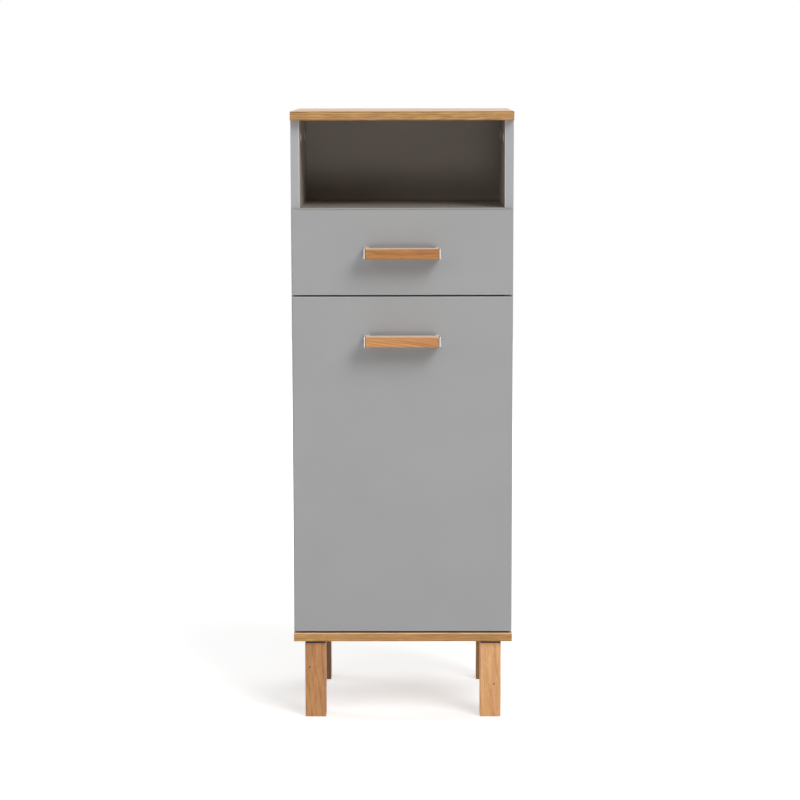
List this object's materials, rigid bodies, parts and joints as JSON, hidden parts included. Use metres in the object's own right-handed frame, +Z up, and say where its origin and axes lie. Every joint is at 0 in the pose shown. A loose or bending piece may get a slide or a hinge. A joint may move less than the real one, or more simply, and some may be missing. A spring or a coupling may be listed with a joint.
{
  "type": "bathroom cabinet",
  "caption": "Narrow mid-height cabinet on square legs: open niche on top, drawer on ball-bearing runners, tall door on concealed cup hinges, oak top and bottom panels and bar handles.",
  "frame": {"origin": "on the floor, in the middle of the object's width and depth, the handles included in the depth", "axes": "+X to the right as seen from the front, +Y towards the wall behind, +Z up"},
  "size_m": [0.4, 0.37, 1.11],
  "materials": {
    "oak": "clear lacquered oak veneer",
    "leg_oak": "clear lacquered solid oak",
    "grey_laminate": "matte grey laminate on board",
    "liner_board": "matte grey foil on board",
    "handle_metal": "satin",
    "zinc_steel": "bright zinc plated",
    "dark_plate": "matte dark",
    "cage_plastic": "matte",
    "bumper": "soft translucent"
  },
  "bodies": {
    "cabinet": {"top_panel": "oak", "bottom_panel": "oak", "side_panel_left": "grey_laminate", "side_panel_right": "grey_laminate", "niche_shelf": "grey_laminate", "fixed_shelf": "grey_laminate", "adjustable_shelf": "grey_laminate", "back_panel": "liner_board", "shelf_pins": "zinc_steel", "cam_locks": "zinc_steel", "cam_bolts": "zinc_steel", "dowels": "oak", "leg_front_left": "leg_oak", "leg_front_right": "leg_oak", "leg_back_left": "leg_oak", "leg_back_right": "leg_oak", "leg_plates": "dark_plate", "leg_plate_screws": "zinc_steel", "leg_hanger_bolts": "zinc_steel", "runner_outer_left": "zinc_steel", "runner_outer_right": "zinc_steel", "runner_screws": "zinc_steel", "hinge_arm_upper": "zinc_steel", "hinge_arm_lower": "zinc_steel", "hinge_arm_pins": "zinc_steel", "hinge_plate_upper": "zinc_steel", "hinge_plate_lower": "zinc_steel", "hinge_plate_screws": "zinc_steel"},
    "drawer": {"drawer_front": "grey_laminate", "drawer_side_left": "liner_board", "drawer_side_right": "liner_board", "drawer_back": "liner_board", "drawer_bottom": "liner_board", "drawer_box_screws": "zinc_steel", "drawer_cam_locks": "zinc_steel", "drawer_cam_bolts": "zinc_steel", "runner_inner_left": "zinc_steel", "runner_inner_right": "zinc_steel", "drawer_runner_screws": "zinc_steel", "drawer_handle_bar": "oak", "drawer_handle_brackets": "handle_metal", "drawer_handle_screws": "zinc_steel", "drawer_bumpers": "bumper"},
    "door": {"door_panel": "grey_laminate", "door_handle_bar": "oak", "door_handle_brackets": "handle_metal", "door_handle_screws": "zinc_steel", "door_bumpers": "bumper", "hinge_cup_upper": "zinc_steel", "hinge_cup_lower": "zinc_steel", "hinge_cup_pins": "zinc_steel", "hinge_cup_screws": "zinc_steel"},
    "hinge_outer_links": {"hinge_outer_link_upper": "zinc_steel", "hinge_outer_link_lower": "zinc_steel"},
    "hinge_inner_links": {"hinge_inner_link_upper": "zinc_steel", "hinge_inner_link_lower": "zinc_steel"},
    "ball_cage_left": {"ball_cage_left": "cage_plastic", "balls_left": "zinc_steel"},
    "ball_cage_right": {"ball_cage_right": "cage_plastic", "balls_right": "zinc_steel"}
  },
  "joints": [
    {"name": "drawer_slide", "type": "slide", "parent": "cabinet", "child": "drawer", "axis": [0, -1, 0], "range_m": [0, 0.185]},
    {"name": "ball_cage_left_slide", "type": "slide", "parent": "cabinet", "child": "ball_cage_left", "axis": [0, -1, 0], "range_m": [0, 0.0925]},
    {"name": "ball_cage_right_slide", "type": "slide", "parent": "cabinet", "child": "ball_cage_right", "axis": [0, -1, 0], "range_m": [0, 0.0925]},
    {"name": "outer_link_turn", "type": "hinge", "parent": "cabinet", "child": "hinge_outer_links", "pos_m": [-0.1651, -0.1172, 0.471], "axis": [0, 0, 1], "range_deg": [0, 31]},
    {"name": "door_turn", "type": "hinge", "parent": "hinge_outer_links", "child": "door", "pos_m": [-0.1886, -0.1311, 0.471], "axis": [0, 0, -1], "range_deg": [0, 136]},
    {"name": "inner_link_turn", "type": "hinge", "parent": "door", "child": "hinge_inner_links", "pos_m": [-0.1853, -0.134, 0.471], "axis": [0, 0, 1], "range_deg": [0, 137.1]}
  ],
  "couplings": [
    {"joint": "ball_cage_left_slide", "follows": "drawer_slide", "ratio": 0.5},
    {"joint": "ball_cage_right_slide", "follows": "drawer_slide", "ratio": 0.5},
    {"joint": "outer_link_turn", "follows": "door_turn", "ratio": 0.2278},
    {"joint": "inner_link_turn", "follows": "door_turn", "ratio": 1.0077}
  ]
}
